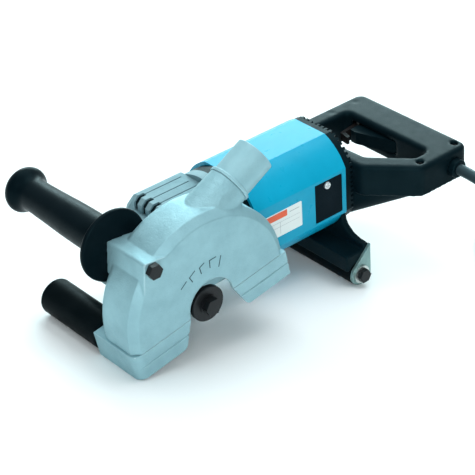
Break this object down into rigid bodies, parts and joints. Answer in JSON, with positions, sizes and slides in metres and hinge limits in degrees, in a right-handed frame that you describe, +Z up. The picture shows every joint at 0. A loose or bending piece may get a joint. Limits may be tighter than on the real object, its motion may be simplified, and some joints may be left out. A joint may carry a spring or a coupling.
{
  "type": "wall chaser",
  "caption": "Two-roller wall chaser with a swinging cast wheel guard, dust nozzle, side grip and rear D-handle; cuts grooves in masonry for pipes and cables.",
  "frame": {"origin": "middle of the machine's plan on the floor that both rollers stand on, without the cord", "axes": "+X back from the guard to the D-handle, +Y towards the side grip, +Z up; the wheel spindle lies along Y"},
  "size_m": [0.5849, 0.3045, 0.1849],
  "materials": {
    "cast_alloy": "satin, as cast",
    "blue_housing": "moulded, light gloss",
    "dark_panel": "moulded, matt",
    "black_plastic": "moulded, fine texture",
    "lever_plastic": "moulded, smooth",
    "plate_foil": "printed foil",
    "zinc_steel": "zinc plated",
    "black_steel": "black oxide",
    "ground_steel": "ground",
    "core_steel": "laminated, varnished",
    "copper": "enamelled and turned copper",
    "sintered_bronze": "sintered",
    "carbon": "pressed carbon",
    "cord_rubber": "extruded rubber",
    "tie_plastic": "strap"
  },
  "bodies": {
    "frame": {"motor_housing": "blue_housing", "brush_cover_near": "dark_panel", "brush_cover_far": "dark_panel", "brush_cover_screws": "zinc_steel", "rating_plate": "plate_foil", "stator": "core_steel", "brush_holders": "black_plastic", "carbon_brushes": "carbon", "brush_springs": "zinc_steel", "armature_bearing_front": "ground_steel", "armature_bearing_rear": "ground_steel", "spindle_bearing": "ground_steel", "spindle_bush": "sintered_bronze", "bearing_box": "cast_alloy", "bearing_box_screws": "zinc_steel", "gear_housing": "cast_alloy", "shaft_lock_spring": "zinc_steel", "adapter_ring": "black_plastic", "rear_axle_bolt": "zinc_steel", "rear_axle_washers": "zinc_steel", "rear_axle_nut": "zinc_steel", "rear_bracket": "black_plastic", "bracket_ears": "zinc_steel", "bracket_screw": "zinc_steel", "rear_ring": "black_plastic", "rear_bearing_spider": "black_plastic", "handle_upper": "black_plastic", "handle_lower": "black_plastic", "handle_screws": "black_steel", "switch_body": "black_plastic", "handle_pins": "zinc_steel", "cord_gland": "cord_rubber", "cord": "cord_rubber", "cord_coil": "cord_rubber", "cord_tie": "tie_plastic", "plug": "cord_rubber"},
    "armature": {"armature_shaft": "ground_steel", "armature_core": "core_steel", "armature_windings": "copper", "commutator": "copper", "cooling_fan": "black_plastic", "pinion": "ground_steel"},
    "spindle": {"spindle": "ground_steel", "bevel_gear": "ground_steel", "inner_flange": "black_steel", "outer_flange": "black_steel", "clamp_bolt": "black_steel"},
    "guard": {"guard_shell": "cast_alloy", "front_foot": "cast_alloy", "rear_foot": "cast_alloy", "dust_nozzle": "cast_alloy", "grip_flange": "black_plastic", "side_grip": "black_plastic", "grip_bolt": "black_steel", "front_roller_axle": "zinc_steel"},
    "front_roller": {"front_roller": "black_plastic"},
    "rear_roller": {"rear_roller": "black_steel"},
    "trigger": {"trigger": "black_plastic"},
    "lock_lever": {"lock_lever": "lever_plastic"},
    "shaft_lock": {"shaft_lock": "black_plastic"}
  },
  "joints": [
    {"name": "armature_spin", "type": "hinge", "parent": "frame", "child": "armature", "pos_m": [-0.01168, 0.0098, 0.06936], "axis": [0.9886, 0, 0.1505], "continuous": true},
    {"name": "spindle_spin", "type": "hinge", "parent": "frame", "child": "spindle", "pos_m": [-0.11054, -0.0202, 0.05431], "axis": [0, 1, 0], "continuous": true},
    {"name": "guard_swing", "type": "hinge", "parent": "frame", "child": "guard", "pos_m": [-0.11054, -0.0442, 0.05431], "axis": [0, 1, 0], "range_deg": [-15, 26]},
    {"name": "front_roller_spin", "type": "hinge", "parent": "guard", "child": "front_roller", "pos_m": [-0.1696, 0.0098, 0.017], "axis": [0, 1, 0], "continuous": true},
    {"name": "rear_roller_spin", "type": "hinge", "parent": "frame", "child": "rear_roller", "pos_m": [0.09598, -0.0032, 0.012], "axis": [0, 1, 0], "continuous": true},
    {"name": "trigger_pull", "type": "hinge", "parent": "frame", "child": "trigger", "pos_m": [0.17629, -0.0242, 0.10706], "axis": [0.1505, 0, -0.9886], "range_deg": [0, 7], "stiffness_Nm_per_rad": 2, "springref_deg": -5.73},
    {"name": "lock_lever_press", "type": "hinge", "parent": "frame", "child": "lock_lever", "pos_m": [0.17579, 0.0288, 0.10699], "axis": [-0.1505, 0, 0.9886], "range_deg": [0, 8], "stiffness_Nm_per_rad": 0.5, "springref_deg": -5.73},
    {"name": "shaft_lock_press", "type": "slide", "parent": "frame", "child": "shaft_lock", "axis": [0, -1, 0], "range_m": [0, 0.0028], "stiffness_N_per_m": 1200, "springref_m": -0.002}
  ],
  "couplings": [
    {"joint": "spindle_spin", "follows": "armature_spin", "ratio": 0.3}
  ]
}
